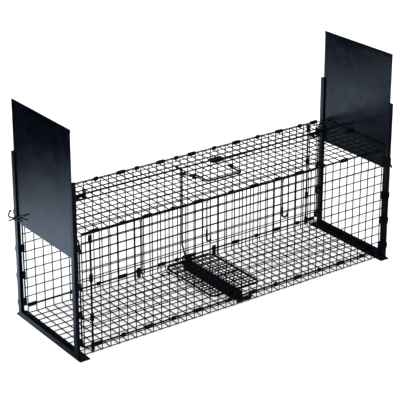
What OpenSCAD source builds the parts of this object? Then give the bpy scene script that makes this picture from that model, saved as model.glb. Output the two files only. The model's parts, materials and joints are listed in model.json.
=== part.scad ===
// Two-door live catch trap: a folding cage of welded wire mesh with a sheet-metal
// drop door in a U-channel frame at each end. The left door is at -X, the right at +X.
// A treadle in the middle of the floor turns the trip rod, which draws both pull rods
// inward and frees the doors. Each end frame swings outward on the corner pin of one
// side panel and is held shut by a lock rod at the other side. The second end frame
// is the first one turned half a turn about the vertical centre line.
// The origin is at the centre of the cage, on the ground.

/* [Cage] */
// Length over the two end frames
cage_l = 1000; // [900:50:1200]
// Width between the centre planes of the side panels
cage_w = 275; // [275]
// Height of the top panel's hinge lines above the ground
cage_h = 325; // [325]
// Pitch of the welded mesh
cell = 25; // [25]
// Width of a mesh wire
wire_w = 2.5; // [1.8:0.1:2.6]
// Width of the heavier wire along a panel's hinge edge
edge_w = 2.6; // [2.4:0.1:3]
// Width of the one heavier level wire in a side panel
heavy_w = 3.8; // [3:0.2:4]
// Thickness of a mesh panel over both layers of wire
panel_t = 3; // [3]

/* [End frames] */
// Height of the door posts
post_h = 450; // [400:10:500]
// Width of a post along the cage, over both flanges
post_w = 10; // [9:1:12]
// Depth of a post's flanges across the cage
post_depth = 15; // [12:1:18]
// Thickness of the bent sheet
sheet = 1.5; // [1:0.1:1.5]
// Width of the flat foot under a sill
foot_w = 30; // [26:1:36]
// How far the foot reaches past the posts on each side
foot_reach = 12; // [8:1:16]
// Height of the sill's two walls
sill_h = 15; // [12:1:18]

/* [Doors] */
// Height of a door
door_h = 326; // [320:2:340]
// Height of a raised door's lower edge above the ground
door_z = 262; // [256:1:280]
// Thickness of a door
door_t = 2; // [1.6:0.1:2.4]

/* [Trip gear] */
// Distance of the left pull rod behind the centre line
left_rod_y = 54; // [54]
// Distance of the right pull rod's inner end behind the centre line
right_rod_y = 41; // [41]
// Distance of the right pull rod's outer end behind the centre line
right_tip_y = 61; // [54:1:66]
// Diameter of the pull rods
pull_d = 5; // [4:0.5:5]
// Width of the treadle, along the cage
treadle_l = 153; // [149:2:155]
// Depth of the treadle, across the cage
treadle_w = 213; // [205:2:213]

/* [Carrying handle] */
// Distance between the handle's legs
handle_l = 106; // [90:2:120]
// Length of the handle's legs
handle_reach = 54; // [50:1:60]
// Diameter of the handle's wire
handle_d = 5; // [4:0.5:6]

/* [Hidden] */
$fn = 40;

// Cage: mesh lines
side_y = cage_w / 2;
half_l = cage_l / 2;
skin = panel_t / 2;
wires_x = floor((half_l - 20) / cell);
mesh_end = wires_x * cell + wire_w / 2;
tray_top = cell;
tray_z = sheet + 0.3;
floor_top = tray_z + panel_t;
top_line = cage_h - skin - 0.2;
top_z = top_line + 0.1;
deck = top_z + panel_t;
heavy_z = 11 * cell;

// Hinge clips: sleeves round the two edge wires of a hinge line
clip_r = 4.7;
clip_bore = 3.5;
long_clip = 22;
short_clip = 10;
long_cells_front = [-18, -12, -6, 1, 7, 13, 18];
short_cells_front = [-15, -9, -2, 4, 10, 16];
long_cells_rear = [-19, -14, -8, -3, 1, 7, 13, 18];
short_cells_rear = [-11, -6, -1, 4, 10, 16];

// Heavy upright rods: distance from the middle of the cage, between two long clips
panel_rod_front = 18 * cell + 3.5;
panel_rod_rear = 18 * cell - 3.5;
saddle_heights = [24, 102, 206, 308];
saddle_h = 20;
saddle_r = 4.8;

// Corner pins, lock rods and their clips
pin_x = half_l - post_w - 8;
pin_r = 2;
run_fit = 0.1;
knuckle = 0.15;
ring_r = 5;
ring_h = 18;
lock_ring_h = 9;
hook_h = 8;
ring_cells = [1, 4, 7, 11];
pin_low = tray_top + 1;
pin_high = top_line - 2;
lock_low = 27.6;
lock_high = 306;
lock_bend = 5.4;

// End frame
inner_x = half_l - post_w;
post_out = side_y + 7.5;
post_in = post_out - post_depth;
door_mid = half_l - post_w / 2;
door_gap = 7;
rod_r = 2.5;
cross_x = inner_x - rod_r;
catch_y = 21;

// Latch wire outside the frame
latch_x = half_l + 3.2;
latch_r = 2.1;
lug_r = 2;
lug_l = 6.8;
latch_y = side_y - 3;
latch_z = 274;
left_finger = 32;
right_finger = 17;

// Treadle
treadle_x = -1.5;
axle_x = -2;
axle_z = 14;
axle_r = 3;
treadle_y = -11.5;
treadle_wire = 3.2;
channel_w = 26;
channel_low = 11;
channel_top = 33;
channel_front = -128;
bearing_t = 2;
bearing_top = axle_z + 6;
arm_end = 38;
channel_rear = 100;
tab_top = 53;
slot_x = -14;
slot_z = 44;
border_r = 2.5;
border_corner = 14;

// Trip rod, lever and pull rods
pull_r = pull_d / 2;
rod_z = deck + 4.1;
trip_x = -68;
trip_y = 32;
trip_r = 2.2;
trip_bend_z = 125;
trip_top_z = rod_z + 6;
lever_x = 53;
lever_y = (left_rod_y + right_rod_y) / 2;
lever_z = rod_z + pull_r + 0.6;
lever_t = 1.8;
lever_size = [42, 21];
lever_pin = 2.4;
tip_gap = 0.4;
tip_x = door_mid - door_t / 2 - tip_gap;
right_slant = atan2(right_tip_y - right_rod_y, tip_x - lever_x);
guide_t = 1.2;
socket_r = 3.2;
socket_depth = 1.2;
left_guide_x = -350;
right_guide_x = 408;
eye_y = -8;
eye_z = deck + 6;
eye_r = handle_d / 2 + 2.4;
eye_l = 8;

INK = [0.07, 0.08, 0.10];
COAT = [0.16, 0.18, 0.21];
DOOR = [0.27, 0.30, 0.34];

// ---- shapes used more than once ----

// The same shape at the other end of the trap
module half_turn() {
    rotate([0, 0, 180]) children();
}

// A straight round rod from point p to point q
module rod(p, q, r) {
    d = q - p;
    translate(p)
        rotate([0, acos(d[2] / norm(d)), atan2(d[1], d[0])])
            cylinder(h = norm(d), r = r);
}

// A wire that follows the points, with a knuckle a little thicker than itself at each bend
module bent_wire(points, r) {
    for (i = [0 : len(points) - 2]) rod(points[i], points[i + 1], r);
    for (i = [1 : len(points) - 2]) translate(points[i]) sphere(r = r + knuckle);
}

// A flat rectangle with round corners, centred
module rounded_plate(w, d, r) {
    square([w - 2 * r, d], center = true);
    square([w, d - 2 * r], center = true);
    for (x = [-1, 1], y = [-1, 1])
        translate([x * (w / 2 - r), y * (d / 2 - r)]) circle(r = r);
}

// Outline of welded mesh between two corners, with its wires at the given places
module mesh_outline(low, high, xs, ys, edge) {
    for (x = xs) translate([x - wire_w / 2, low[1]]) square([wire_w, high[1] - low[1]]);
    for (y = ys) translate([low[0], y - wire_w / 2]) square([high[0] - low[0], wire_w]);
    for (y = [low[1], high[1] - edge]) translate([low[0], y]) square([high[0] - low[0], edge]);
}

// An upright mesh panel in the plane of the front side
module front_mesh(low, high, ys) {
    xs = [for (i = [-wires_x : wires_x]) i * cell];
    translate([0, -side_y + skin, 0])
        rotate([90, 0, 0])
            linear_extrude(panel_t) mesh_outline(low, high, xs, ys, edge_w);
}

// A level mesh panel, with its underside at z
module level_mesh(z) {
    xs = [for (i = [-wires_x : wires_x]) i * cell];
    ys = [for (i = [1 : cage_w / cell - 1]) i * cell - side_y];
    translate([0, 0, z])
        linear_extrude(panel_t)
            mesh_outline([-mesh_end, -side_y - skin], [mesh_end, side_y + skin], xs, ys, edge_w);
}

// Sleeves of one length along a hinge line, one in each of the listed mesh cells
module hinge_sleeves(cells, length, y, z) {
    for (n = cells)
        translate([(n + 0.5) * cell - length / 2, y, z])
            rotate([0, 90, 0])
                difference() {
                    cylinder(h = length, r = clip_r);
                    translate([0, 0, -1]) cylinder(h = length + 2, r = clip_bore);
                }
}

// ---- cage ----

module floor_tray() {
    color(INK) {
        level_mesh(tray_z);
        for (side = [0, 180])
            rotate([0, 0, side])
                front_mesh([-mesh_end, floor_top + 0.1], [mesh_end, tray_top - 0.1], []);
    }
}

module front_panel() {
    rows = [for (i = [2 : cage_h / cell - 1]) i * cell];
    color(INK) {
        front_mesh([-mesh_end, tray_top + 0.1], [pin_x - pin_r, top_line], rows);
        translate([-mesh_end, -side_y - skin, heavy_z - heavy_w / 2])
            cube([mesh_end + pin_x - pin_r, panel_t, heavy_w]);
    }
}

module rear_panel() {
    half_turn() front_panel();
}

module top_panel() {
    color(INK) level_mesh(top_z);
}

module long_clips_top() {
    color(INK) {
        hinge_sleeves(long_cells_front, long_clip, -side_y, top_line + 0.05);
        hinge_sleeves(long_cells_rear, long_clip, side_y, top_line + 0.05);
    }
}

module short_clips_top() {
    color(INK) {
        hinge_sleeves(short_cells_front, short_clip, -side_y, top_line + 0.05);
        hinge_sleeves(short_cells_rear, short_clip, side_y, top_line + 0.05);
    }
}

module long_clips_bottom() {
    color(INK) {
        hinge_sleeves(long_cells_front, long_clip, -side_y, tray_top);
        hinge_sleeves(long_cells_rear, long_clip, side_y, tray_top);
    }
}

module short_clips_bottom() {
    color(INK) {
        hinge_sleeves(short_cells_front, short_clip, -side_y, tray_top);
        hinge_sleeves(short_cells_rear, short_clip, side_y, tray_top);
    }
}

// Upright pin on the rear panel's left edge, on which the left frame swings
module left_hinge_pin() {
    color(INK) rod([-pin_x, side_y, pin_low], [-pin_x, side_y, pin_high], pin_r);
}

module right_hinge_pin() {
    half_turn() left_hinge_pin();
}

// Hooks on the front panel that the left lock rod lies in, open toward the frame
module front_lock_hooks() {
    gap = pin_r + 0.4;
    color(INK)
        for (n = ring_cells)
            translate([-pin_x, -side_y, (n + 0.5) * cell - hook_h - 2])
                difference() {
                    translate([-2, -ring_r, 0]) cube([pin_x - mesh_end + 2, 2 * ring_r, hook_h]);
                    translate([0, 0, -1]) cylinder(h = hook_h + 2, r = gap);
                    translate([-3, -gap, -1]) cube([3, 2 * gap, hook_h + 2]);
                }
}

module rear_lock_hooks() {
    half_turn() front_lock_hooks();
}

// Heavy upright rod on the outside of a panel, near its end
module panel_rod(x) {
    y = -side_y - skin - rod_r;
    color(INK) rod([x, y, 8], [x, y, top_line - 5], rod_r);
}

module front_panel_rod() {
    panel_rod(-panel_rod_front);
}

module rear_panel_rod() {
    half_turn() panel_rod(-panel_rod_rear);
}

// Saddles that hold the heavy upright rods against the panels
module panel_rod_clips() {
    y = -side_y - skin - rod_r - 0.05;
    color(INK)
        for (end = [[0, panel_rod_front], [180, panel_rod_rear]], z = saddle_heights)
            rotate([0, 0, end[0]])
                translate([-end[1], y, z - saddle_h / 2])
                    difference() {
                        cylinder(h = saddle_h, r = saddle_r);
                        translate([0, 0, -1]) cylinder(h = saddle_h + 2, r = rod_r + 0.05);
                        translate([-6, rod_r, -1]) cube([12, 6, saddle_h + 2]);
                    }
}

// Three wires that hang inside the front panel and end in hooks. A row holds the wire's
// place along the cage, the hook's lowest level, its bend and the length of its grip.
module front_hanging_hooks() {
    r = 1.6;
    grip_r = 2.8;
    y = -side_y + skin + grip_r + 0.1;
    color(INK)
        for (hook = [[-306, 171, 5, 0], [-108, 205, 6, 28], [134, 209, 9, 22]]) {
            x = hook[0];
            bend = hook[2];
            z = hook[1] + bend;
            rod([x, y, z], [x, y, top_line - 5], r);
            if (hook[3] > 0) translate([x, y, z + 2]) cylinder(h = hook[3], r = grip_r);
            translate([x + bend, y, z])
                rotate([90, 0, 0])
                    rotate([0, 0, 180]) rotate_extrude(angle = 180) translate([bend, 0]) circle(r = r);
            rod([x + 2 * bend, y, z], [x + 2 * bend, y, z + bend], r);
        }
}

// Hook plates outside the rear floor line
module rear_floor_hooks() {
    color(INK)
        for (x = [-133, 118])
            translate([x - 6, side_y + clip_r + 0.2, 4]) {
                cube([12, 1.8, 28]);
                translate([0, -clip_r - 0.2 + skin + 0.1, 0]) cube([12, clip_r, 1.8]);
            }
}

// ---- treadle ----

module treadle_axle() {
    color(INK)
        rod([axle_x, channel_front - 6, axle_z], [axle_x, channel_rear + 8, axle_z], axle_r);
}

// Two upright plates on the floor that hold the ends of the axle. The front one has an
// arm that reaches along the panel.
module treadle_bearings() {
    front = channel_front - 5;
    color(COAT) {
        for (y = [front, channel_rear + 5])
            translate([axle_x, y, 0])
                difference() {
                    translate([-9, 0, floor_top]) cube([18, bearing_t, bearing_top - floor_top]);
                    translate([0, -1, axle_z])
                        rotate([-90, 0, 0]) cylinder(h = bearing_t + 2, r = axle_r);
                }
        translate([axle_x + 8, front, floor_top]) cube([arm_end - axle_x - 8, bearing_t, 12]);
    }
}

// Wire stop on the floor that the treadle's left wing rests on, with a ring at one foot
module treadle_stop() {
    x = treadle_x - treadle_l / 2 + 4;
    r = 1.5;
    ring = 9;
    low = floor_top + r + 0.1;
    high = channel_top - r - 0.5;
    feet = [[x + 8, 42, low], [x + 8, 104, low]];
    color(INK) {
        bent_wire([feet[0], [x, 48, high], [x, 78, high], feet[1]], r);
        translate(feet[0]) sphere(r = r + knuckle);
        translate(feet[1] + [0, ring, 0]) rotate_extrude() translate([ring, 0]) circle(r = r);
    }
}

module treadle_mesh() {
    half = [treadle_l / 2 - border_r, treadle_w / 2 - border_r];
    color(INK)
        translate([treadle_x, treadle_y, channel_top])
            linear_extrude(panel_t) {
                for (i = [-2 : 2])
                    translate([i * cell - treadle_wire / 2, -half[1]])
                        square([treadle_wire, 2 * half[1]]);
                for (i = [-4 : 3])
                    translate([-half[0], (i + 0.5) * cell - treadle_wire / 2])
                        square([2 * half[0], treadle_wire]);
            }
}

// Heavy wire round the edge of the treadle, with round corners
module treadle_border() {
    a = treadle_l / 2;
    b = treadle_w / 2;
    z = channel_top + border_r + 0.05;
    c = border_corner;
    color(INK)
        translate([treadle_x, treadle_y, z]) {
            for (s = [-1, 1]) {
                rod([s * a, -b + c, 0], [s * a, b - c, 0], border_r);
                rod([-a + c, s * b, 0], [a - c, s * b, 0], border_r);
            }
            for (turn = [0, 180]) {
                rotate([0, 0, turn])
                    translate([a - c, b - c, 0])
                        rotate_extrude(angle = 90) translate([c, 0]) circle(r = border_r);
                rotate([0, 0, turn])
                    translate([-a + c, b - c, 0])
                        rotate([0, 0, 90])
                            rotate_extrude(angle = 90) translate([c, 0]) circle(r = border_r);
            }
        }
}

// Channel under the treadle, open below, with an end plate at each end. The rear end
// plate stands up above the treadle and has the slot for the trip rod.
module treadle_channel() {
    h = channel_top - channel_low;
    l = channel_rear - channel_front;
    tab_left = slot_x - 7;
    color(COAT)
        difference() {
            translate([axle_x - channel_w / 2, channel_front, channel_low])
                union() {
                    difference() {
                        cube([channel_w, l, h]);
                        translate([sheet, sheet, -1])
                            cube([channel_w - 2 * sheet, l - 2 * sheet, h + 1 - sheet]);
                    }
                    translate([tab_left - axle_x + channel_w / 2, l - sheet, h - 8])
                        cube([axle_x + channel_w / 2 - tab_left, sheet, tab_top - channel_top + 8]);
                }
            translate([axle_x, channel_front - 1, axle_z])
                rotate([-90, 0, 0]) cylinder(h = l + 2, r = axle_r + run_fit);
            translate([slot_x - 3, channel_rear - 3, slot_z - 6.5]) cube([6, 6, 10]);
        }
}

// ---- trip gear ----

// Upright rod with a crank arm at each end: the lower one lies in the treadle's slot,
// the upper one has an eye round the stub of the left pull rod
module trip_rod() {
    eye = [trip_x, left_rod_y, trip_top_z - 1.5];
    color(INK) {
        bent_wire([
            [trip_x, left_rod_y - 3.6, trip_top_z],
            [trip_x, trip_y, trip_top_z],
            [trip_x, trip_y, trip_bend_z],
            [slot_x, channel_rear - 10, slot_z],
            [slot_x, channel_rear + 8, slot_z]
        ], trip_r);
        translate(eye)
            difference() {
                cylinder(h = 3, r = 4.8);
                translate([0, 0, -1]) cylinder(h = 5, r = 2.8);
            }
    }
}

// Plate on the deck that guides the top of the trip rod
module trip_rod_eye() {
    color(COAT)
        translate([trip_x - 2, trip_y - 6, deck])
            difference() {
                linear_extrude(guide_t) rounded_plate(22, 22, 4);
                translate([2, 6, -1]) cylinder(h = 4, r = trip_r + run_fit);
            }
}

// Lever that joins the two pull rods, with a slot for each rod's upturned end
module trip_lever() {
    color(COAT)
        translate([lever_x, lever_y, lever_z])
            difference() {
                linear_extrude(lever_t) rounded_plate(lever_size[0], lever_size[1], 4);
                translate([0, 0, -1]) cylinder(h = 4, r = lever_pin + run_fit);
                for (s = [-1, 1])
                    translate([-2.6, s * (left_rod_y - lever_y) - 2.7, -1]) cube([5.2, 5.4, 4]);
            }
}

// Pivot of the lever: a foot plate on the deck, a post and a flat head
module lever_pivot() {
    color(COAT)
        translate([lever_x, lever_y, deck]) {
            linear_extrude(guide_t) rounded_plate(30, 14, 3);
            cylinder(h = lever_z - deck + lever_t + 1.9, r = lever_pin);
            translate([0, 0, lever_z - deck + lever_t + 0.4]) cylinder(h = 1.5, r = lever_pin + 1.4);
        }
}

// Left pull rod, straight along the cage, with the stub for the trip rod's eye
module left_pull_rod() {
    color(INK) {
        bent_wire([
            [-tip_x, left_rod_y, rod_z],
            [lever_x, left_rod_y, rod_z],
            [lever_x, left_rod_y, lever_z + lever_t + 1.6]
        ], 2);
        rod([-tip_x, left_rod_y, rod_z], [lever_x - 3, left_rod_y, rod_z], pull_r);
        rod([trip_x, left_rod_y, rod_z], [trip_x, left_rod_y, trip_top_z + 3], 2);
    }
}

// Right pull rod, which runs slightly aslant toward the rear
module right_pull_rod() {
    reach = norm([tip_x - lever_x, right_tip_y - right_rod_y]);
    color(INK)
        translate([lever_x, right_rod_y, rod_z])
            rotate([0, 0, right_slant]) {
                rod([3, 0, 0], [reach - 0.3, 0, 0], pull_r);
                bent_wire([[4, 0, 0], [0, 0, 0], [0, 0, lever_z + lever_t + 1.6 - rod_z]], 2);
            }
}

// Guide bracket: a plate on the deck with an upturned tab bored for the pull rod
module rod_guide() {
    color(COAT)
        difference() {
            union() {
                translate([-32, -21, deck - rod_z]) cube([34, 30, guide_t]);
                translate([0, -8, deck - rod_z]) cube([2, 17, 16]);
            }
            translate([-1, 0, 0]) rotate([0, 90, 0]) cylinder(h = 4, r = pull_r + run_fit);
            translate([-16, -12, deck - rod_z - 1]) cylinder(h = 4, r = 4);
        }
}

module left_rod_guide() {
    translate([left_guide_x, left_rod_y, rod_z]) rod_guide();
}

module right_rod_guide() {
    along = right_guide_x - lever_x;
    translate([lever_x, right_rod_y, rod_z])
        rotate([0, 0, right_slant]) translate([along, 0, 0]) rod_guide();
}

// ---- carrying handle ----

module handle_eyes() {
    color(COAT)
        for (s = [-1, 1])
            translate([s * (handle_l / 2 + 9), eye_y, 0])
                difference() {
                    union() {
                        translate([-eye_l / 2, 0, eye_z]) rotate([0, 90, 0]) cylinder(h = eye_l, r = eye_r);
                        translate([-eye_l / 2, -3, deck + 0.4]) cube([eye_l, 6, eye_z - deck - 2]);
                        translate([-eye_l / 2, -14, deck]) cube([eye_l, 28, guide_t]);
                    }
                    translate([-eye_l, 0, eye_z])
                        rotate([0, 90, 0]) cylinder(h = 2 * eye_l, r = handle_d / 2 + run_fit);
                }
}

// Wire handle, lying forward on the deck, with its ends turned outward into the eyes
module handle_bail() {
    a = handle_l / 2;
    r = handle_d / 2;
    c = 5;
    color(INK)
        translate([0, eye_y, eye_z]) {
            for (s = [-1, 1]) {
                rod([s * a, 0, 0], [s * (a + 12.5), 0, 0], r);
                translate([s * a, 0, 0]) sphere(r = r);
                rod([s * a, 0, 0], [s * a, -handle_reach + c, 0], r);
                translate([s * (a - c), -handle_reach + c, 0])
                    rotate([0, 0, s > 0 ? -90 : 180])
                        rotate_extrude(angle = 90) translate([c, 0]) circle(r = r);
            }
            rod([-a + c, -handle_reach, 0], [a - c, -handle_reach, 0], r);
        }
}

// ---- end frame, drawn for the left end ----

// U-channel post on the rear side, open toward the other post
module post() {
    color(COAT)
        translate([-half_l, post_in, sheet])
            linear_extrude(post_h - sheet)
                difference() {
                    square([post_w, post_depth]);
                    translate([sheet, -1]) square([post_w - 2 * sheet, post_depth + 1 - sheet]);
                }
}

module left_rear_post() {
    post();
}

module left_front_post() {
    mirror([0, 1, 0]) post();
}

// Sill: a flat foot under both posts, with the walls of the door channel between them
module left_sill() {
    foot_y = post_out + foot_reach;
    wall_y = post_in - 0.2;
    color(COAT) {
        translate([-half_l, -foot_y, 0]) cube([foot_w, 2 * foot_y, sheet]);
        for (x = [0, post_w - sheet])
            translate([-half_l + x, -wall_y, 0]) cube([sheet, 2 * wall_y, sill_h]);
    }
}

// Heavy rod between the posts, at the height of the top panel
module left_cross_rod() {
    y = post_in + 3;
    color(INK) rod([-cross_x, -y, cage_h], [-cross_x, y, cage_h], rod_r);
}

// Five turns of wire wound loosely on the cross rod, with a small upright loop
module left_catch() {
    r = 1.25;
    coil = 4.7;
    loop = 6;
    color(INK)
        translate([-cross_x, -catch_y, cage_h]) {
            for (i = [-2 : 2])
                translate([0, 2.7 * i, 0])
                    rotate([90, 0, 0]) rotate_extrude() translate([coil, 0]) circle(r = r);
            translate([0, 0, coil + loop])
                rotate([0, 90, 0]) rotate_extrude() translate([loop, 0]) circle(r = r - 0.2);
        }
}

// Rings on the rear post, bored for the corner pin of the rear panel
module left_hinge_clips() {
    color(INK)
        for (n = ring_cells)
            translate([-pin_x, side_y, (n + 0.5) * cell - ring_h / 2])
                frame_ring(ring_h);
}

// Rings on the front post that the lock rod slides in
module left_lock_rings() {
    color(INK)
        for (n = ring_cells)
            translate([-pin_x, -side_y, (n + 0.5) * cell])
                frame_ring(lock_ring_h);
}

// One ring with its tab to the post's inner flange
module frame_ring(h) {
    difference() {
        union() {
            cylinder(h = h, r = ring_r);
            translate([-(inner_x - pin_x), -2.5, 0]) cube([inner_x - pin_x, 5, h]);
        }
        translate([0, 0, -1]) cylinder(h = h + 2, r = pin_r + run_fit);
    }
}

// Lock rod with its top bent toward the post as a finger grip
module left_lock_rod() {
    color(INK)
        bent_wire([
            [-pin_x, -side_y, lock_low],
            [-pin_x, -side_y, lock_high],
            [-pin_x - lock_bend, -side_y, lock_high + 10]
        ], pin_r);
}

// Drop door: a sheet that slides between the posts, with a blind socket in its inner face
// for the pull rod's tip
module end_door(socket_y) {
    w = 2 * (post_out - sheet - door_gap);
    inner = -door_mid + door_t / 2;
    color(DOOR)
        difference() {
            translate([inner - door_t, -w / 2, door_z]) cube([door_t, w, door_h]);
            translate([inner - socket_depth, socket_y, rod_z])
                rotate([0, 90, 0]) cylinder(h = socket_depth + 1, r = socket_r);
        }
}

module left_door() {
    end_door(left_rod_y);
}

// Rivet on the rear post's outer flange that carries the latch wire
module left_latch_lug() {
    head = lug_l - 1.2;
    color(COAT)
        translate([-half_l, latch_y, latch_z])
            rotate([0, -90, 0]) {
                cylinder(h = lug_l, r = lug_r);
                cylinder(h = 0.8, r = 4);
                translate([0, 0, head]) cylinder(h = lug_l - head, r = 3.6);
            }
}

// Latch wire: an eye round the rivet, two prongs across the door, a short tail opposite
// the upper prong, and a finger end that reaches past the post and ends in a bead
module latch_wire(finger) {
    r = latch_r - 0.2;
    fall = -0.54;
    tail = min(30, finger);
    elbow = [0, finger, -7];
    bead = [0, finger - 16, 13];
    color(INK)
        translate([-latch_x, latch_y, latch_z]) {
            rotate([0, 90, 0])
                difference() {
                    translate([0, 0, -latch_r]) cylinder(h = 2 * latch_r, r = 5.6);
                    translate([0, 0, -latch_r - 1]) cylinder(h = 2 * latch_r + 2, r = lug_r + run_fit);
                }
            rod([0, -3.8, -3.8 * fall], [0, -50, -50 * fall], r);
            rod([0, 3.8, 3.8 * fall], [0, tail, tail * fall], r);
            rod([0, -4.2, 0.7], [0, -40, 7], r);
            rod([0, 4.2, -0.6], elbow, r);
            translate(elbow) sphere(r = r + knuckle);
            rod(elbow, bead, r);
            translate(bead) sphere(r = r + 1.1);
        }
}

module left_latch() {
    latch_wire(left_finger);
}

// ---- end frame at the right, turned half a turn ----

module right_front_post() {
    half_turn() left_rear_post();
}

module right_rear_post() {
    half_turn() left_front_post();
}

module right_sill() {
    half_turn() left_sill();
}

module right_cross_rod() {
    half_turn() left_cross_rod();
}

module right_catch() {
    half_turn() left_catch();
}

module right_hinge_clips() {
    half_turn() left_hinge_clips();
}

module right_lock_rings() {
    half_turn() left_lock_rings();
}

module right_latch_lug() {
    half_turn() left_latch_lug();
}

module right_lock_rod() {
    half_turn() left_lock_rod();
}

module right_door() {
    half_turn() end_door(-right_tip_y);
}

module right_latch() {
    half_turn() latch_wire(right_finger);
}

floor_tray();
front_panel();
rear_panel();
top_panel();
long_clips_top();
short_clips_top();
long_clips_bottom();
short_clips_bottom();
left_hinge_pin();
right_hinge_pin();
front_lock_hooks();
rear_lock_hooks();
front_panel_rod();
rear_panel_rod();
panel_rod_clips();
front_hanging_hooks();
rear_floor_hooks();
treadle_axle();
treadle_bearings();
treadle_stop();
left_rod_guide();
right_rod_guide();
trip_rod_eye();
lever_pivot();
handle_eyes();
treadle_mesh();
treadle_border();
treadle_channel();
trip_rod();
trip_lever();
left_pull_rod();
right_pull_rod();
handle_bail();
left_rear_post();
left_front_post();
left_sill();
left_cross_rod();
left_catch();
left_hinge_clips();
left_lock_rings();
left_latch_lug();
left_lock_rod();
left_door();
left_latch();
right_front_post();
right_rear_post();
right_sill();
right_cross_rod();
right_catch();
right_hinge_clips();
right_lock_rings();
right_latch_lug();
right_lock_rod();
right_door();
right_latch();
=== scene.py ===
"""Looks of a two-door live catch trap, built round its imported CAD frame.

Shape code works in millimetres in the CAD frame, and a piece is scaled to metres when it is
made. The left end (-X) is modelled once, and the right end is the same shapes turned half a
turn about Z, as in the CAD. Only the latch's finger and the door's socket differ there.
"""

import json
import math
import random

import bmesh
import bpy
from mathutils import Matrix, Vector, noise


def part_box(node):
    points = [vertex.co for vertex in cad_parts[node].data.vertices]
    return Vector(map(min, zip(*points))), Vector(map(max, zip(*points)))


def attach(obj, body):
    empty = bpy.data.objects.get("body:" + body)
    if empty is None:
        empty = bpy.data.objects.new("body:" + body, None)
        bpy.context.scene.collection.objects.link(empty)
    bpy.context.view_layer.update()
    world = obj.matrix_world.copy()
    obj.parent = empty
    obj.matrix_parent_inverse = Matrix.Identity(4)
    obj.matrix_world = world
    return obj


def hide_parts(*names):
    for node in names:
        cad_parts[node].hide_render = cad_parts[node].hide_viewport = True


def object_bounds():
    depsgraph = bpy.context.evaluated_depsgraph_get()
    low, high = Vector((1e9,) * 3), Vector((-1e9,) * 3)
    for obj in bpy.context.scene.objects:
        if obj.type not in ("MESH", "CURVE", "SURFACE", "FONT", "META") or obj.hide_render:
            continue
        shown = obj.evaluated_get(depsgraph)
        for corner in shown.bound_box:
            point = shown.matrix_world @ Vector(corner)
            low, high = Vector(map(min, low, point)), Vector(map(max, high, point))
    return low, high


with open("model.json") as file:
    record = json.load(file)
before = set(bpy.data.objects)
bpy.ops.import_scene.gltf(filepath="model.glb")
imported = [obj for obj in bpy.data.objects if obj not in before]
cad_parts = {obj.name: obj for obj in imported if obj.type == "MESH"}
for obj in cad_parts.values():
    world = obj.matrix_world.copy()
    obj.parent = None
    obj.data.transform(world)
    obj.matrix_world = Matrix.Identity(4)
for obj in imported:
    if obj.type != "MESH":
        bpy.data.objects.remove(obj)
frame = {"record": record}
CAD_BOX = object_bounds()

MM = 0.001
RECORD = frame["record"]
BODY_OF = {n: body for body, nodes in RECORD["behaviour"]["bodies"].items() for n in nodes}
SLOT_OF = {part["node"]: part["material_slot"] for part in RECORD["subparts"]}

# Sizes that the CAD source states, in millimetres: the cage
CELL = 25
EDGE_R = 1.3
HEAVY_R = 1.9
HEAVY_ROW = 11
SIDE_Y = 137.5
DECK = 326.4
PIN_X = 482
PIN_R = 2.0
PANEL_ROD_R = 2.5
SHEET = 1.5
THIN_SHEET = 1.2

# Mesh cells with a ring, heights of the saddles, and cells with a hinge sleeve by side
RING_CELLS = (1, 4, 7, 11)
RING_H = 18
LOCK_RING_H = 9
SADDLE_Z = (24, 102, 206, 308)
SADDLE_H = 20
LONG_CELLS = {-1: (-18, -12, -6, 1, 7, 13, 18), 1: (-19, -14, -8, -3, 1, 7, 13, 18)}
SHORT_CELLS = {-1: (-15, -9, -2, 4, 10, 16), 1: (-11, -6, -1, 4, 10, 16)}
LONG_SLEEVE = 22
SHORT_SLEEVE = 10

# The trip gear, treadle, handle, frames and latches
ROD_Z = 330.5
LEVER = Vector((53, 47.5, 333.6))
LEFT_ROD_Y = 54
RIGHT_ROD_Y = 41
RIGHT_TIP_Y = 61
TIP_X = 493.6
LEFT_GUIDE_X = -350
RIGHT_GUIDE_X = 408
TRIP = Vector((-68, 32, 336.5))
TRIP_BEND_Z = 125
AXLE_X = -2
AXLE_Z = 14
SLOT_X = -14
SLOT_Z = 44
HANDLE_Y = -8
CROSS_X = 487.5
LOCK_HIGH = 306
LATCH_Y = 134.5
LATCH_Z = 274

# Radii of the wires that are drawn a little thicker than in the CAD, as the photo shows them
WIRE_R = 1.4
TREADLE_WIRE_R = 2.0
BORDER_R = 2.8
TRIP_R = 2.4

# How far each layer of a mesh's wires lies off its middle, and the height midway between the
# two edge wires of a hinge line
LAYER = 0.3
TOP_HINGE_Z = 323.35
FLOOR_HINGE_Z = 25.0

# Widths of the bevels on cut sheet, for small parts and for larger ones
FINE = 0.2
BROAD = 0.25


# ---- shape kit ----


def box_mm(node):
    """Lowest and highest corner of a CAD node, in millimetres."""
    low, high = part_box(node)
    return low / MM, high / MM


def ripple(a, b, seed, size=90.0):
    """Smooth unevenness from -1 to 1 over a surface, with bumps about `size` mm wide."""
    return noise.noise(Vector((a / size, b / size, seed * 7.31)))


def rounded(points, radius, steps=6):
    """The path with each inner corner turned into an arc."""
    points = [Vector(p) for p in points]
    path = [points[0]]
    for before, corner, after in zip(points, points[1:], points[2:]):
        back, ahead = before - corner, after - corner
        turn = math.pi - back.angle(ahead)
        if turn < 0.02:
            path.append(corner)
            continue
        cut = min(radius * math.tan(turn / 2), back.length * 0.49, ahead.length * 0.49)
        arc_r = cut / math.tan(turn / 2)
        back.normalize()
        ahead.normalize()
        centre = corner + (back + ahead).normalized() * (arc_r / math.cos(turn / 2))
        start = (corner + back * cut - centre).normalized()
        end = (corner + ahead * cut - centre).normalized()
        path += [centre + start.slerp(end, i / steps) * arc_r for i in range(steps + 1)]
    return path + [points[-1]]


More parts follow.
